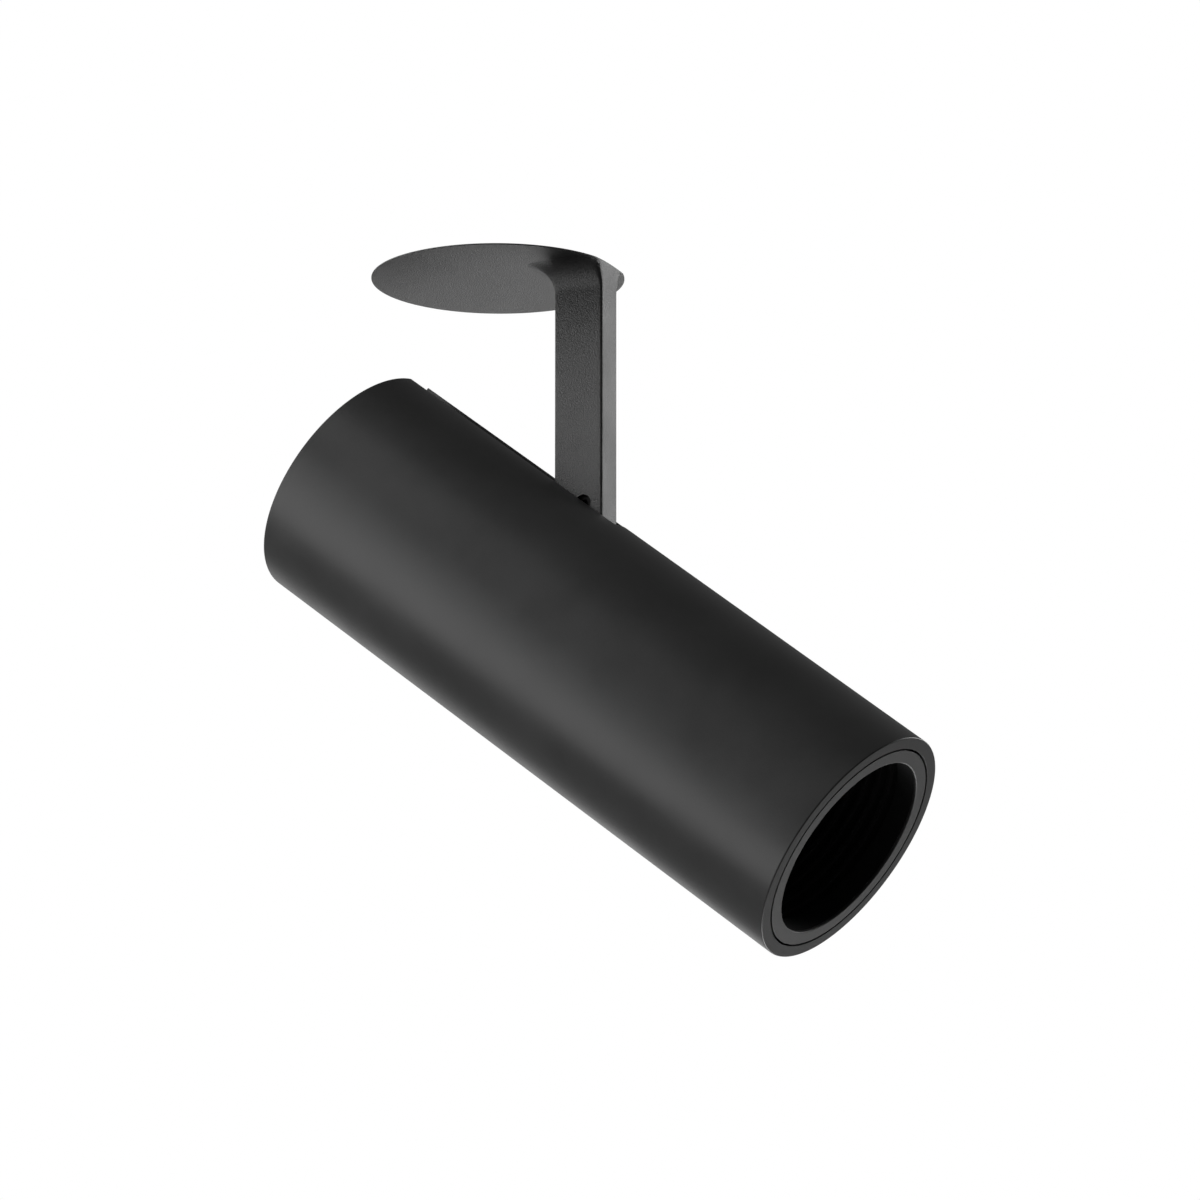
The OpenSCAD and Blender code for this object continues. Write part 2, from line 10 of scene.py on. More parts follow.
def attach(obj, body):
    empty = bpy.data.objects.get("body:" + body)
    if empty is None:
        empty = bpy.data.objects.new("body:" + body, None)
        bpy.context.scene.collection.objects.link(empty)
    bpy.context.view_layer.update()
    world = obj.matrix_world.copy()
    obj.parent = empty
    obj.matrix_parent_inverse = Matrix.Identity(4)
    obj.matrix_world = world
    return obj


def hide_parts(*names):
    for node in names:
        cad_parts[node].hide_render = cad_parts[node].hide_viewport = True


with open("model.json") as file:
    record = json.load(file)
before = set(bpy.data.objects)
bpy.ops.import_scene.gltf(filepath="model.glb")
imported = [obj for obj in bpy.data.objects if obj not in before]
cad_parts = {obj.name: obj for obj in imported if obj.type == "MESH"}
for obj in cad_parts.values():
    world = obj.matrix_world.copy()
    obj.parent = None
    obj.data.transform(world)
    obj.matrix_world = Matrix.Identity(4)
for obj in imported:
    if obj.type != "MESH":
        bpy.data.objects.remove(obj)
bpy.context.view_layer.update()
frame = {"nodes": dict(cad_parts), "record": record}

MM = 0.001

# Sizes of the tube and its pieces, in millimetres, as in the source. Names that end in _S or _END are
# distances from the tube's back end
TUBE_R = 30.0
TUBE_L = 162.0
BORE_R = 27.0
OPTIC_R = 26.65
OPENING_R = 23.15
NOSE_W = 1.2
NOSE_R = OPENING_R + NOSE_W
RING_FACE_T = 0.8
FACE_S = TUBE_L - RING_FACE_T
FRONT_RING_L = 5.3
FRONT_S = TUBE_L - FRONT_RING_L
SLOT_FROM = 8.0
SLOT_END = 68.0
RETAINER_S = 69.4
RETAINER_BITE = 0.9
YOKE_S = 70.6
YOKE_T = 4.0
HOLDER_T = 7.1
FLANGE_T = 1.0
GLASS_T = 2.0
GASKET_T = 1.2
SINK_SHARE = 0.48
REFLECTOR_SHARE = 0.31
SPARE_L = FRONT_S - YOKE_S - YOKE_T - HOLDER_T - FLANGE_T - GLASS_T - GASKET_T
RIB_S = YOKE_S + YOKE_T + SPARE_L * SINK_SHARE
RIB_T = 2.0
RIB_BORE_R = 24.5
HOLDER_END = RIB_S + HOLDER_T
REFLECTOR_L = SPARE_L * REFLECTOR_SHARE
SNOOT_S = HOLDER_END + REFLECTOR_L + FLANGE_T + GLASS_T + GASKET_T
CAP_IN = 0.8
CAP_T = 3.0
CAP_R = 26.8
CAP_SCREW_R = 1.5
CAP_HEAD_R = 2.8
CAP_HEAD_T = 1.6
STANDOFF_EDGE = 8.0
STANDOFF_R = BORE_R - STANDOFF_EDGE
STANDOFF_TURN = math.radians(95)
STANDOFF_X = STANDOFF_R * math.cos(STANDOFF_TURN)
STANDOFF_Y = STANDOFF_R * math.sin(STANDOFF_TURN)

# Sizes of the disc and the arm
DISC_Z = -4.25
DISC_R = 30.7
RIM_T = 0.3
HUB_R = 22.0
HUB_T = 2.6
SKIN_T = 0.7
STUD_SEAT_R = 5.05
STOP_GROOVE_IN = 11.0
STOP_GROOVE_OUT = 13.5
STOP_GROOVE_Z = -2.3
LAND_HALF = 1.08
ARM_W = 12.4
ARM_T = 9.0
ARM_INSET = 0.05
ARM_OUT = math.sqrt(TUBE_R ** 2 - (ARM_T / 2) ** 2) - ARM_INSET
ARM_MID = ARM_OUT - ARM_W / 2
ARM_IN = ARM_OUT - ARM_W
ARM_END_R = ARM_W / 2
FILLET_R = 6.8
FILLET_SINK = 0.05
FLARE_TOP = 0.3
PIVOT_INSET = 7.5
PIVOT_DROP = 66.0
PIVOT_X = ARM_OUT - PIVOT_INSET
PIVOT_Z = DISC_Z - PIVOT_DROP
PIVOT_HOLE_R = 2.05
PIVOT_HOLE_FROM = 2.35
LEAD_SIDE = 0.8
LEAD_X = ARM_MID + LEAD_SIDE
LEAD_GROOVE_HALF = 1.4
LEAD_BORE_R = 1.9
GROMMET_SEAT_R = 2.35
GROMMET_L = 2.4
GRIP_OUT = 1.2
GRIP_UP = 7.1
GRIP_X = ARM_MID + GRIP_OUT
GRIP_Z = PIVOT_Z + GRIP_UP
GRIP_HOLE_R = 2.05
SLOT_GAP = 0.3
SLOT_HALF = ARM_T / 2 + SLOT_GAP

# Sizes that only the scene has: roundings, and a front ring that is a little smaller, so that its gap shows
ARM_OUTER_EDGE = 0.6
ARM_INNER_EDGE = 0.3
EDGE_GROWTH = 0.6
RIM_EDGE = 0.13
HUB_EDGE = 0.6
CUT_EDGE = 0.15
RING_R = 26.45

# Where cuts end, clear of what they cut
CUT_TOP = 2.0
CUT_SIDE = 6.0
CUT_FAR = 40.0
CUT_OVER = 1.0
CAP_CUT_FROM = 3.0
CAP_CUT_TO = -6.0

# How finely curves are divided
ROUND_SIDES = 160
FINE_SIDES = 200
FINEST_SIDES = 240
GROOVE_SIDES = 96
ROD_SIDES = 64
CORNER_STEPS = 5
SMALL_STEPS = 4
SIDE_PARTS = 12
FILLET_STEPS = 24
END_STEPS = 12
# A little more than END_STEPS, so that the arm's lowest level keeps some width
END_SPAN = 12.3
CUP_STEPS = 24

# The head's own axes at rest: the tube's back end lies at zero and its mouth towards -Z
TILT = math.radians(52.6)
FOLD_GAP = 6.0
BACK_Z = DISC_Z - FOLD_GAP
HEAD = (Matrix.Translation((PIVOT_X, 0, PIVOT_Z)) @ Matrix.Rotation(-TILT, 4, "Y")
        @ Matrix.Translation((-PIVOT_X, 0, BACK_Z - PIVOT_Z)))
HERE = Matrix.Identity(4)


# Shapes

def as_object(name, verts, faces, place):
    """A mesh object from points in millimetres, placed by a matrix, with all its faces turned outwards."""
    mesh = bpy.data.meshes.new(name)
    mesh.from_pydata([(place @ Vector(v)) * MM for v in verts], [], faces)
    bm = bmesh.new()
    bm.from_mesh(mesh)
    bmesh.ops.recalc_face_normals(bm, faces=bm.faces)
    bm.to_mesh(mesh)
    bm.free()
    obj = bpy.data.objects.new(name, mesh)
    bpy.context.scene.collection.objects.link(obj)
    return obj


def rounded(corners, steps=CORNER_STEPS):
    """A closed outline from corners that are (x, y, radius of the rounding)."""
    # The largest share of a side that a rounding may take
    side_share = 0.49
    out = []
    count = len(corners)
    for i, (x, y, radius) in enumerate(corners):
        if radius <= 0:
            out.append((x, y))
            continue
        here = Vector((x, y))
        before = Vector(corners[i - 1][:2]) - here
        after = Vector(corners[(i + 1) % count][:2]) - here
        half = before.angle(after) / 2
        reach = min(radius / math.tan(half), before.length * side_share, after.length * side_share)
        radius = reach * math.tan(half)
        start = here + before.normalized() * reach
        end = here + after.normalized() * reach
        inwards = (before.normalized() + after.normalized()).normalized()
        centre = here + inwards * (radius / math.sin(half))
        a = start - centre
        b = end - centre
        sweep = a.angle_signed(b)
        for k in range(steps + 1):
            turn = -sweep * k / steps
            out.append((centre.x + a.x * math.cos(turn) - a.y * math.sin(turn),
                        centre.y + a.x * math.sin(turn) + a.y * math.cos(turn)))
    return out


def lathe(name, outline, place, segments):
    """A closed outline of (radius, height) turned round the Z axis."""
    on_axis = 1e-6
    verts = []
    rows = []
    for r, z in outline:
        if r < on_axis:
            rows.append([len(verts)] * segments)
            verts.append((0, 0, z))
            continue
        rows.append(list(range(len(verts), len(verts) + segments)))
        for k in range(segments):
            turn = 2 * math.pi * k / segments
            verts.append((r * math.cos(turn), r * math.sin(turn), z))
    faces = []
    for i, row in enumerate(rows):
        following = rows[(i + 1) % len(rows)]
        if row[0] == row[1] and following[0] == following[1]:
            continue
        for k in range(segments):
            m = (k + 1) % segments
            corners = []
            for v in (row[k], row[m], following[m], following[k]):
                if v not in corners:
                    corners.append(v)
            faces.append(corners)
    return as_object(name, verts, faces, place)


def slab(lo, hi, place=HERE):
    """A box between two corners, to cut with."""
    xs, ys, zs = zip(lo, hi)
    verts = [(x, y, z) for x in xs for y in ys for z in zs]
    faces = [(0, 1, 3, 2), (4, 6, 7, 5), (0, 4, 5, 1), (2, 3, 7, 6), (0, 2, 6, 4), (1, 5, 7, 3)]
    return as_object("cut", verts, faces, place)


def rod(start, end, r, place=HERE):
    """A cylinder between two points, to cut with."""
    start = Vector(start)
    axis = Vector(end) - start
    turn = axis.to_track_quat("Z", "Y").to_matrix().to_4x4()
    outline = [(0, 0), (r, 0), (r, axis.length), (0, axis.length)]
    return lathe("cut", outline, place @ Matrix.Translation(start) @ turn, ROD_SIDES)


def settle(obj):
    """Keeps what the modifiers make as the mesh itself."""
    deps = bpy.context.evaluated_depsgraph_get()
    mesh = bpy.data.meshes.new_from_object(obj.evaluated_get(deps))
    old = obj.data
    obj.modifiers.clear()
    obj.data = mesh
    bpy.data.meshes.remove(old)


def combine(obj, others, operation):
    """Cuts the other objects out of obj, or joins them to it, and deletes them."""
    for other in others:
        mod = obj.modifiers.new("combine", "BOOLEAN")
        mod.operation = operation
        mod.solver = "EXACT"
        mod.object = other
        settle(obj)
        mesh = other.data
        bpy.data.objects.remove(other)
        bpy.data.meshes.remove(mesh)


def soften(obj):
    """Rounds the edges of the cuts, which turn by more than 60 degrees."""
    mod = obj.modifiers.new("edges", "BEVEL")
    mod.width = CUT_EDGE * MM
    mod.segments = 3
    mod.limit_method = "ANGLE"
    mod.angle_limit = math.radians(60)
    mod.use_clamp_overlap = True
    mod.harden_normals = False
    settle(obj)


def smooth(obj, sharp=32):
    """Smooth shading, with edges that turn by more than sharp degrees kept sharp and flat faces kept flat."""
    obj.data.shade_smooth()
    obj.data.set_sharp_from_angle(angle=math.radians(sharp))
    mod = obj.modifiers.new("normals", "WEIGHTED_NORMAL")
    mod.keep_sharp = True
    mod.weight = 80
    settle(obj)


# Materials

def node(tree, kind, **inputs):
    """A node with some of its inputs set, by name or as _0, _1. A value that is a socket is linked."""
    made = tree.nodes.new(kind)
    for key, value in inputs.items():
        key = key.replace("_", " ")
        socket = made.inputs[key] if key in made.inputs else made.inputs[int(key)]
        if isinstance(value, bpy.types.NodeSocket):
            tree.links.new(value, socket)
        else:
            socket.default_value = value
    return made


def calculate(tree, operation, a, b):
    """The result of a math node."""
    made = node(tree, "ShaderNodeMath", _0=a, _1=b)
    made.operation = operation
    return made.outputs["Value"]


def shade(tone):
    """A grey or a colour as four numbers."""
    if isinstance(tone, (int, float)):
        tone = (tone, tone, tone)
    return (*tone, 1.0)


def surface(name, tone, dark, rough, grain, bump, metal=0.0, specular=0.5, rough_span=0.08):
    """A material whose colour and roughness vary with a fine grain and a broad cloud.

    tone and dark are the colour's two ends. grain is the grain's size and bump its height, in millimetres."""
    # The sum of both noises runs over about this range
    low = 0.75
    high = 1.25
    mat = bpy.data.materials.new(name)
    mat.use_nodes = True
    tree = mat.node_tree
    shader = tree.nodes["Principled BSDF"]
    place = node(tree, "ShaderNodeTexCoord").outputs["Object"]
    fine = node(tree, "ShaderNodeTexNoise", Vector=place, Scale=1 / (grain * MM), Detail=2.0, Roughness=0.55)
    broad = node(tree, "ShaderNodeTexNoise", Vector=place, Scale=70.0, Detail=3.0, Roughness=0.5)
    both = calculate(tree, "ADD", fine.outputs["Fac"], broad.outputs["Fac"])
    share = node(tree, "ShaderNodeMapRange", Value=both, From_Min=low, From_Max=high)
    tint = node(tree, "ShaderNodeMix", Factor=share.outputs["Result"])
    tint.data_type = "RGBA"
    # In a mix node, inputs 6 and 7 and output 2 are the colours
    tint.inputs[6].default_value = shade(dark)
    tint.inputs[7].default_value = shade(tone)
    tree.links.new(tint.outputs[2], shader.inputs["Base Color"])
    haze = node(tree, "ShaderNodeMapRange", Value=both, From_Min=low, From_Max=high,
                To_Min=rough - rough_span / 2, To_Max=rough + rough_span / 2)
    tree.links.new(haze.outputs["Result"], shader.inputs["Roughness"])
    relief = node(tree, "ShaderNodeBump", Height=fine.outputs["Fac"], Distance=bump * MM, Strength=1.0)
    tree.links.new(relief.outputs["Normal"], shader.inputs["Normal"])
    shader.inputs["Metallic"].default_value = metal
    shader.inputs["Specular IOR Level"].default_value = specular
    return mat


def clear_glass():
    """Clear glass with a trace of unevenness in its gloss."""
    mat = surface("clear_glass", (0.95, 0.98, 0.97), (0.9, 0.95, 0.94), 0.03, 4.0, 0.002, rough_span=0.02)
    shader = mat.node_tree.nodes["Principled BSDF"]
    shader.inputs["Transmission Weight"].default_value = 1.0
    shader.inputs["IOR"].default_value = 1.5
    return mat


# For each slot what surface() takes: the colour's light and dark end, roughness, grain, relief, and then
# metal and specular level where they aren't 0 and 0.5
FINISHES = {
    "bracket_powder_coat": (0.028, 0.009, 0.5, 0.38, 0.13, 0.0, 0.46),
    "tube_powder_coat": (0.031, 0.026, 0.34, 0.22, 0.01, 0.0, 0.14),
    "rear_cap_paint": (0.018, 0.013, 0.55, 0.32, 0.03, 0.0, 0.35),
    "front_ring_paint": (0.042, 0.034, 0.48, 0.26, 0.015, 0.0, 0.32),
    "baffle_black": (0.015, 0.013, 0.85, 0.3, 0.02, 0.0, 0.05),
    "zinc_plate": ((0.55, 0.56, 0.58), (0.4, 0.41, 0.43), 0.38, 0.9, 0.01, 1.0),
    "steel_turned": ((0.6, 0.6, 0.61), (0.48, 0.48, 0.49), 0.3, 0.3, 0.006, 1.0),
    "spring_steel": ((0.48, 0.48, 0.5), (0.36, 0.36, 0.38), 0.34, 0.5, 0.006, 1.0),
    "black_screw": (0.005, 0.003, 0.6, 0.3, 0.01, 0.0, 0.1),
    "die_cast": ((0.4, 0.41, 0.42), (0.29, 0.3, 0.31), 0.46, 0.6, 0.03, 1.0),
    "friction_fibre": ((0.3, 0.21, 0.14), (0.2, 0.14, 0.09), 0.8, 0.4, 0.03),
    "acetal": ((0.75, 0.74, 0.7), (0.68, 0.67, 0.63), 0.42, 1.0, 0.006),
    "washer_polymer": ((0.68, 0.63, 0.5), (0.58, 0.53, 0.42), 0.5, 0.5, 0.01),
    "socket_plastic": ((0.7, 0.69, 0.64), (0.63, 0.62, 0.57), 0.3, 0.8, 0.006),
    "wire_cover": (0.05, 0.035, 0.5, 0.4, 0.01),
    "grommet_rubber": (0.03, 0.02, 0.75, 0.35, 0.02, 0.0, 0.3),
    "sink_anodised": (0.04, 0.03, 0.4, 0.25, 0.008),
    "turned_aluminium": ((0.6, 0.61, 0.62), (0.5, 0.51, 0.52), 0.3, 0.3, 0.008, 1.0),
    "thermal_pad": ((0.42, 0.45, 0.55), (0.34, 0.37, 0.46), 0.8, 0.5, 0.02),
    "board_white": ((0.8, 0.8, 0.78), (0.74, 0.74, 0.72), 0.35, 0.6, 0.004),
    "emitter_resin": ((0.85, 0.62, 0.12), (0.78, 0.54, 0.08), 0.3, 0.5, 0.01),
    "holder_white": ((0.76, 0.75, 0.72), (0.7, 0.69, 0.66), 0.5, 0.6, 0.008),
    "spacer_black": (0.02, 0.014, 0.55, 0.3, 0.01, 0.0, 0.3),
    "reflector_metal": ((0.85, 0.86, 0.88), (0.78, 0.79, 0.81), 0.12, 1.2, 0.02, 1.0),
}
MATERIALS = {slot: surface(slot, *values) for slot, values in FINISHES.items()}
MATERIALS["clear_glass"] = clear_glass()


def fit(obj, body, slot, *nodes):
    """Gives a finished piece its material and its body, and hides the CAD nodes that it stands for."""
    obj.data.materials.clear()
    obj.data.materials.append(MATERIALS[slot])
    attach(obj, body)
    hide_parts(*nodes)


# Disc and arm

def arm_outline(flare):
    """The arm's section with its fillets' flare, clipped to the disc's rim. Points in X and Y."""
    half = ARM_T / 2 + flare
    back = ARM_IN - flare
    outer = ARM_OUTER_EDGE + EDGE_GROWTH * flare
    inner = ARM_INNER_EDGE + EDGE_GROWTH * flare
    corners = [(ARM_OUT, -half, outer), (ARM_OUT, half, outer), (back, half, inner), (back, -half, inner)]
    ring = rounded(corners, SMALL_STEPS)
    clearance = 0.02
    limit = DISC_R - clearance
    clipped = []
    for i, (x, y) in enumerate(ring):
        next_x, next_y = ring[(i + 1) % len(ring)]
        # Each rounding has one point more than steps, and a long side follows its last point
        parts = SIDE_PARTS if i % (SMALL_STEPS + 1) == SMALL_STEPS else 1
        for k in range(parts):
            here_x = x + (next_x - x) * k / parts
            here_y = y + (next_y - y) * k / parts
            scale = min(1, limit / math.hypot(here_x, here_y))
            clipped.append((here_x * scale, here_y * scale))
    return clipped


def make_arm():
    """The arm from its flared top down to its round end."""
    # Each level has its height, its flare and the share of the arm's width that is left
    levels = [(DISC_Z + FLARE_TOP, FILLET_R, 1)]
    top = DISC_Z + FILLET_SINK
    for k in range(FILLET_STEPS + 1):
        turn = math.pi / 2 * (1 - k / FILLET_STEPS)
        levels.append((top - FILLET_R * (1 - math.sin(turn)), FILLET_R * (1 - math.cos(turn)), 1))
    for k in range(1, END_STEPS + 1):
        turn = math.pi / 2 * k / END_SPAN
        levels.append((PIVOT_Z - ARM_END_R * math.sin(turn), 0, math.cos(turn)))
    verts = []
    rows = []
    for z, flare, share in levels:
        outline = arm_outline(flare)
        rows.append(list(range(len(verts), len(verts) + len(outline))))
        verts += [(ARM_MID + (x - ARM_MID) * share, y, z) for x, y in outline]
    faces = [rows[0], rows[-1][::-1]]
    for upper, lower in zip(rows, rows[1:]):
        for k in range(len(upper)):
            m = (k + 1) % len(upper)
            faces.append((upper[k], upper[m], lower[m], lower[k]))
    return as_object("arm_blank", verts, faces, HERE)


def bracket_cutters():
    """The seats, bores and grooves that are cut out of disc and arm."""
    pocket = DISC_Z + SKIN_T
    low = PIVOT_Z - ARM_W
    seat_end = PIVOT_Z - ARM_END_R + GROMMET_L
    cutters = [
        rod((0, 0, pocket), (0, 0, CUT_TOP), STUD_SEAT_R),
        slab((0, -LEAD_GROOVE_HALF, pocket), (LEAD_X, LEAD_GROOVE_HALF, CUT_TOP)),
        rod((ARM_MID, 0, low), (ARM_MID, 0, CUT_TOP), LEAD_BORE_R),
        rod((ARM_MID, 0, low), (ARM_MID, 0, seat_end), GROMMET_SEAT_R),
    ]
    for side in (1, -1):
        start = (PIVOT_X, side * PIVOT_HOLE_FROM, PIVOT_Z)
        cutters.append(rod(start, (PIVOT_X, side * CUT_SIDE, PIVOT_Z), PIVOT_HOLE_R))
    cutters.append(rod((GRIP_X, -CUT_SIDE, GRIP_Z), (GRIP_X, 0, GRIP_Z), GRIP_HOLE_R))
    outline = [(STOP_GROOVE_IN, STOP_GROOVE_Z), (STOP_GROOVE_OUT, STOP_GROOVE_Z), (STOP_GROOVE_OUT, 0),
               (STOP_GROOVE_IN, 0)]
    groove = lathe("cut", outline, HERE, GROOVE_SIDES)
    land = slab((-LAND_HALF, -STOP_GROOVE_OUT - CUT_OVER, STOP_GROOVE_Z - CUT_OVER),
                (LAND_HALF, -STOP_GROOVE_IN + CUT_OVER, CUT_TOP))
    combine(groove, [land], "DIFFERENCE")
    cutters.append(groove)
    return cutters


def make_disc_arm():
    """Disc and arm as one casting."""
    corners = [(0, DISC_Z, 0), (DISC_R, DISC_Z, RIM_EDGE), (DISC_R, DISC_Z + RIM_T, RIM_EDGE),
               (HUB_R, DISC_Z + HUB_T, HUB_EDGE), (0, DISC_Z + HUB_T, 0)]
    disc = lathe("disc_and_arm", rounded(corners, SMALL_STEPS), HERE, FINEST_SIDES)
    flat = slab((ARM_OUT, -CUT_FAR, DISC_Z - CUT_OVER), (CUT_FAR, CUT_FAR, CUT_TOP))
    combine(disc, [flat], "DIFFERENCE")
    combine(disc, [make_arm()], "UNION")
    combine(disc, bracket_cutters(), "DIFFERENCE")
    smooth(disc, 30)
    fit(disc, "bracket", "bracket_powder_coat", "disc_arm")


make_disc_arm()


# Tube and what closes it

def head_lathe(name, corners, segments):
    """A round piece of the head, from corners that are (radius, distance from the back end, rounding)."""
    return lathe(name, rounded([(r, -s, edge) for r, s, edge in corners]), HEAD, segments)


def turned(name, corners, segments, slot, *nodes):
    """A round piece of the head that needs no cuts."""
    obj = head_lathe(name, corners, segments)
    smooth(obj)
    fit(obj, "head", slot, *nodes)


def make_tube():
    """The tube with its slot, rib and ring groove, its edges lightly rounded."""
    groove_r = BORE_R + RETAINER_BITE
    rib_end = RIB_S + RIB_T
    corners = [
        (TUBE_R, 0, 0.25),
        (TUBE_R, TUBE_L, 0.3),
        (BORE_R, TUBE_L, 0.05),
        (BORE_R, rib_end, 0),
        (RIB_BORE_R, rib_end, 0.2),
        (RIB_BORE_R, RIB_S, 0.2),
        (BORE_R, RIB_S, 0),
        (BORE_R, YOKE_S, 0),
        (groove_r, YOKE_S, 0),
        (groove_r, RETAINER_S, 0),
        (BORE_R, RETAINER_S, 0),
        (BORE_R, 0, 0.3),
    ]
    tube = head_lathe("tube", corners, FINEST_SIDES)
    slot = slab((SLOT_FROM, -SLOT_HALF, -SLOT_END), (CUT_FAR, SLOT_HALF, CUT_OVER), HEAD)
    combine(tube, [slot], "DIFFERENCE")
    soften(tube)
    smooth(tube)
    fit(tube, "head", "tube_powder_coat", "tube_housing")


def make_rear_cap():
    """The rear cap with its notch for the arm and two seats for the screws' heads."""
    cap_end = CAP_IN + CAP_T
    corners = [(0, CAP_IN, 0), (CAP_R, CAP_IN, 0.35), (CAP_R, cap_end, 0.2), (0, cap_end, 0)]
    cap = head_lathe("rear_cover", corners, FINE_SIDES)
    cutters = [slab((ARM_IN - SLOT_GAP, -SLOT_HALF, CAP_CUT_TO), (CUT_FAR, SLOT_HALF, CAP_CUT_FROM), HEAD)]
    for y in (-STANDOFF_Y, STANDOFF_Y):
        start = (STANDOFF_X, y, CAP_CUT_FROM)
        cutters.append(rod(start, (STANDOFF_X, y, CAP_CUT_TO), CAP_SCREW_R, HEAD))
        cutters.append(rod(start, (STANDOFF_X, y, -CAP_IN - CAP_HEAD_T), CAP_HEAD_R, HEAD))
    combine(cap, cutters, "DIFFERENCE")
    soften(cap)
    smooth(cap)
    fit(cap, "head", "rear_cap_paint", "rear_cap")


def make_front_ring():
    """The ring at the tube's mouth, stepped inside for the liner's nose."""
    corners = [
        (NOSE_R, FRONT_S, 0),
        (RING_R, FRONT_S, 0),
        (RING_R, TUBE_L, 0.06),
        (OPENING_R, TUBE_L, 0.25),
        (OPENING_R, FACE_S, 0.1),
        (NOSE_R, FACE_S, 0),
    ]
    turned("inner_ring", corners, FINE_SIDES, "front_ring_paint", "front_ring")


def make_snoot():
    """The grooved black liner of the opening."""
    grooves = 5
    depth = 0.9
    tooth_share = 0.35
    fit_gap = 0.05
    top_edge = 0.12
    floor_edge = 0.2
    floor_r = OPENING_R + depth
    nose_r = NOSE_R - fit_gap
    pitch = (FRONT_S - SNOOT_S) / grooves
    tooth = pitch * tooth_share
    corners = [(nose_r, FACE_S, 0), (nose_r, FRONT_S, 0), (OPTIC_R, FRONT_S, 0), (OPTIC_R, SNOOT_S, 0),
               (OPENING_R, SNOOT_S, top_edge)]
    for i in range(grooves):
        start = SNOOT_S + i * pitch + tooth / 2
        end = start + pitch - tooth
        corners += [(OPENING_R, start, top_edge), (floor_r, start, floor_edge), (floor_r, end, floor_edge),
                    (OPENING_R, end, top_edge)]
    corners.append((OPENING_R, FACE_S, 0))
    turned("opening_liner", corners, ROUND_SIDES, "baffle_black", "snoot")


def make_reflector():
    """The reflector's parabola and its flange."""
    small = 10.2
    big = 22.65
    wall = 1.0
    end = HOLDER_END + REFLECTOR_L
    inside = []
    for k in range(CUP_STEPS + 1):
        share = k / CUP_STEPS
        r = math.sqrt(small ** 2 + (big ** 2 - small ** 2) * share)
        inside.append((r, HOLDER_END + REFLECTOR_L * share, 0))
    outside = [(r + wall, s, 0) for r, s, _ in reversed(inside)]
    flange = [(big, end + FLANGE_T, 0), (OPTIC_R, end + FLANGE_T, 0), (OPTIC_R, end, 0)]
    turned("reflector_cup", inside + flange + outside, ROUND_SIDES, "reflector_metal", "reflector")


make_tube()
make_rear_cap()
make_front_ring()
make_snoot()
make_reflector()

# All CAD nodes get their slot's finish, and those that no piece stands for keep their shape
for entry in frame["record"]["subparts"]:
    part = frame["nodes"][entry["node"]]
    part.data.materials.clear()
    part.data.materials.append(MATERIALS[entry["material_slot"]])


# Stage, lights and camera

# The camera looks this far round from +Y towards -X, and this far up
HEADING = math.radians(23.99)
PITCH = math.radians(12.21)
CAMERA_AT = Vector((492.1, -1044.9, -329.3 + DISC_Z)) * MM
# Focal length and frame width in pixels, and the frame's width in millimetres
FOCAL_PX = 4940
FRAME_PX = 1200
SENSOR_MM = 36.0
FLOOR_Z = -2.4
FLOOR_HALF = 6
# How bright the floor looks to the camera and in glass, and in gloss
FLOOR_SEEN = 0.9
FLOOR_GLOSS = 0.1
AIM = Vector((0.03, 0.0, -0.085))
LAMP_DISTANCE = 1.6
LAMP_SIZE = 0.9
# Each lamp's name, azimuth, elevation and power
LIGHTS = [
    ("left", -90, 15, 11),
    ("left_front_low", -51, -15, 14),
    ("left_front", -45, 15, 13),
    ("left_front_high", -40, 50, 16.5),
    ("back_right", 150, 20, 13),
    ("back_low", 180, -45, 16),
]
# The world: what diffuse rays get, and what glossy rays get from the pale backdrop behind and below the
# object and from the dark studio in front of it
WORLD_FILL = 0.03
BACKDROP_GLOSS = 1.0
FRONT_GLOSS = 0.12
BACKDROP_DOWN = math.radians(35)
# The cosines of the angle from the backdrop's middle between which it fades in
BACKDROP_FROM = 0.66
BACKDROP_TO = 0.86


def seen_directly(tree, rays):
    """One for rays from the camera and through glass, and zero for others."""
    return calculate(tree, "MAXIMUM", rays["Is Camera Ray"], rays["Is Transmission Ray"])


def pale_floor():
    """Floor paint that keeps the shadow and looks pale to the camera and in glass, and less so in gloss."""
    mat = surface("floor_paint", 0.82, 0.8, 0.8, 3.0, 0.05)
    tree = mat.node_tree
    shader = tree.nodes["Principled BSDF"]
    rays = node(tree, "ShaderNodeLightPath").outputs
    direct = calculate(tree, "MULTIPLY", seen_directly(tree, rays), FLOOR_SEEN)
    gloss = calculate(tree, "MULTIPLY", rays["Is Glossy Ray"], FLOOR_GLOSS)
    shader.inputs["Emission Color"].default_value = shade(1.0)
    tree.links.new(calculate(tree, "ADD", direct, gloss), shader.inputs["Emission Strength"])
    return mat


floor_mesh = bpy.data.meshes.new("floor")
floor_corners = [(-FLOOR_HALF, -FLOOR_HALF, FLOOR_Z), (FLOOR_HALF, -FLOOR_HALF, FLOOR_Z),
                 (FLOOR_HALF, FLOOR_HALF, FLOOR_Z), (-FLOOR_HALF, FLOOR_HALF, FLOOR_Z)]
floor_mesh.from_pydata(floor_corners, [], [(0, 1, 2, 3)])
floor = bpy.data.objects.new("floor", floor_mesh)
bpy.context.scene.collection.objects.link(floor)
floor.data.materials.append(pale_floor())


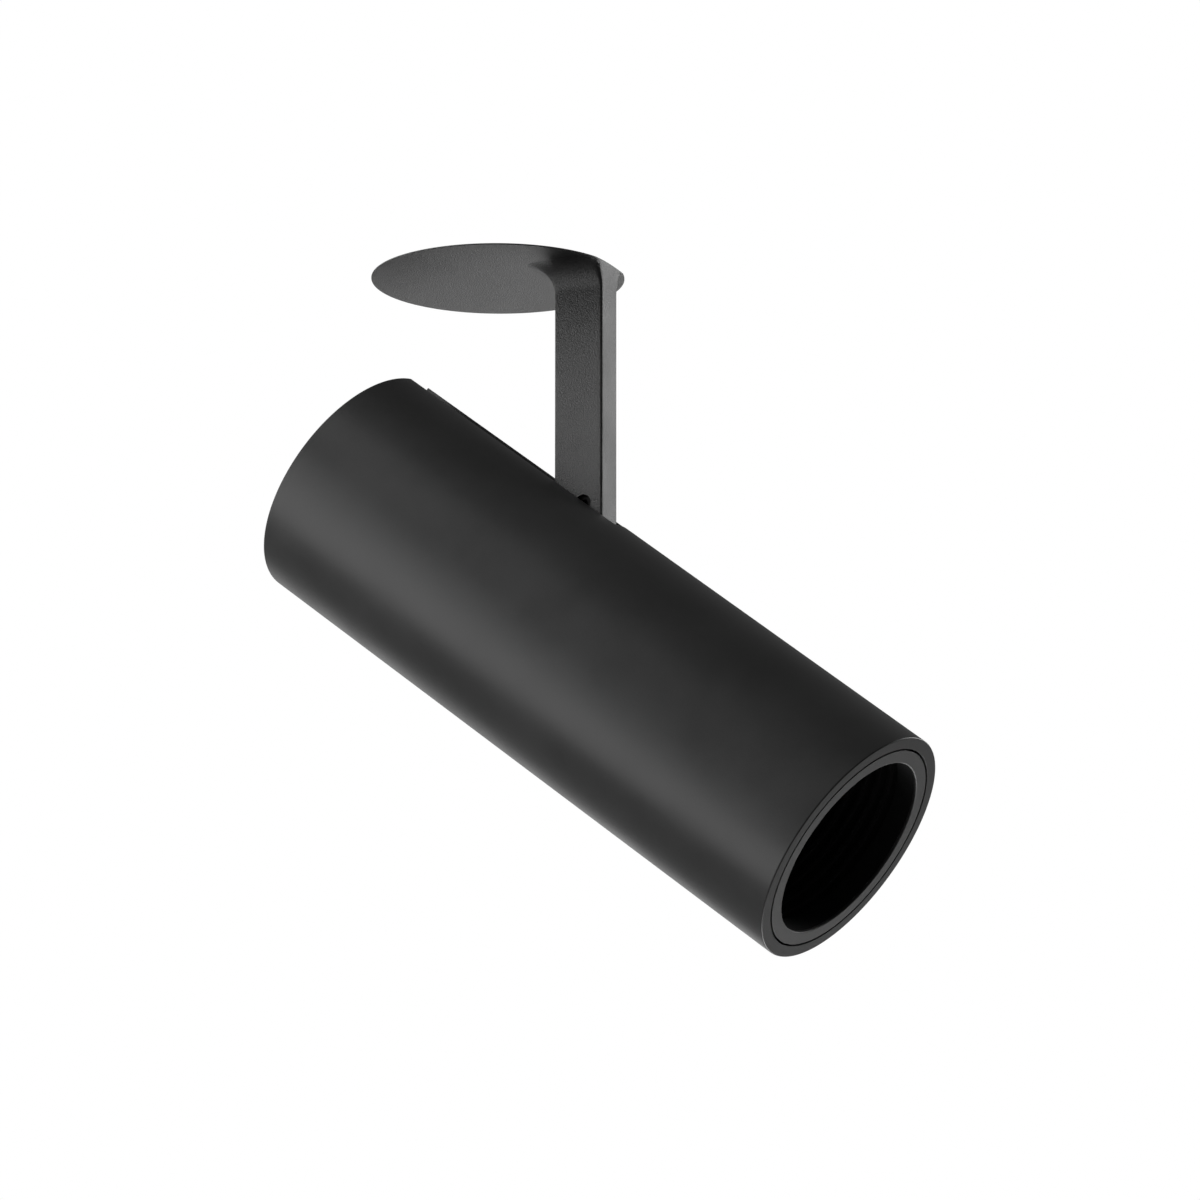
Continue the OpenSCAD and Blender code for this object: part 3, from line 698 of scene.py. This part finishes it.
def softbox(name, azimuth, elevation, power):
    """A square soft lamp aimed at the object. Azimuth 0 stands at -Y and 90 at +X."""
    lamp = bpy.data.lights.new(name, "AREA")
    lamp.shape = "SQUARE"
    lamp.size = LAMP_SIZE
    lamp.energy = power
    obj = bpy.data.objects.new(name, lamp)
    turn = math.radians(azimuth)
    rise = math.radians(elevation)
    away = Vector((math.sin(turn) * math.cos(rise), -math.cos(turn) * math.cos(rise), math.sin(rise)))
    obj.location = AIM + LAMP_DISTANCE * away
    obj.rotation_euler = (AIM - obj.location).to_track_quat("-Z", "Y").to_euler()
    bpy.context.scene.collection.objects.link(obj)


def make_world():
    """White to the camera and in glass, with a low fill and, in gloss, a pale backdrop and a dark front."""
    world = bpy.data.worlds.new("white")
    bpy.context.scene.world = world
    world.use_nodes = True
    tree = world.node_tree
    rays = node(tree, "ShaderNodeLightPath").outputs
    direction = node(tree, "ShaderNodeTexCoord").outputs["Generated"]
    backdrop = (-math.sin(HEADING) * math.cos(BACKDROP_DOWN), math.cos(HEADING) * math.cos(BACKDROP_DOWN),
                -math.sin(BACKDROP_DOWN))
    behind = node(tree, "ShaderNodeVectorMath", _0=direction, _1=backdrop)
    behind.operation = "DOT_PRODUCT"
    mirrored = node(tree, "ShaderNodeMapRange", Value=behind.outputs["Value"], From_Min=BACKDROP_FROM,
                    From_Max=BACKDROP_TO, To_Min=FRONT_GLOSS, To_Max=BACKDROP_GLOSS)
    mirrored.interpolation_type = "SMOOTHSTEP"
    shine = calculate(tree, "MULTIPLY", rays["Is Glossy Ray"], mirrored.outputs["Result"])
    fill = node(tree, "ShaderNodeMapRange", Value=rays["Is Glossy Ray"], To_Min=WORLD_FILL, To_Max=0.0)
    lit = calculate(tree, "ADD", shine, fill.outputs["Result"])
    level = node(tree, "ShaderNodeMix", Factor=seen_directly(tree, rays))
    # In a mix node, inputs 2 and 3 and output 0 are the plain numbers
    tree.links.new(lit, level.inputs[2])
    level.inputs[3].default_value = 1.0
    background = tree.nodes["Background"]
    background.inputs["Color"].default_value = shade(1.0)
    tree.links.new(level.outputs[0], background.inputs["Strength"])


def make_camera():
    """The photograph's camera."""
    data = bpy.data.cameras.new("camera")
    data.sensor_fit = "HORIZONTAL"
    data.sensor_width = SENSOR_MM
    data.lens = FOCAL_PX / FRAME_PX * SENSOR_MM
    data.clip_start = 0.01
    data.clip_end = 50
    camera = bpy.data.objects.new("camera", data)
    right = Vector((math.cos(HEADING), math.sin(HEADING), 0))
    forward = Vector((-math.sin(HEADING) * math.cos(PITCH), math.cos(HEADING) * math.cos(PITCH),
                      math.sin(PITCH)))
    up = right.cross(forward)
    axes = Matrix((right, up, -forward)).transposed().to_4x4()
    camera.matrix_world = Matrix.Translation(CAMERA_AT) @ axes
    bpy.context.scene.collection.objects.link(camera)
    bpy.context.scene.camera = camera


for lamp_values in LIGHTS:
    softbox(*lamp_values)
make_world()
make_camera()
bpy.context.scene.view_settings.view_transform = "Standard"
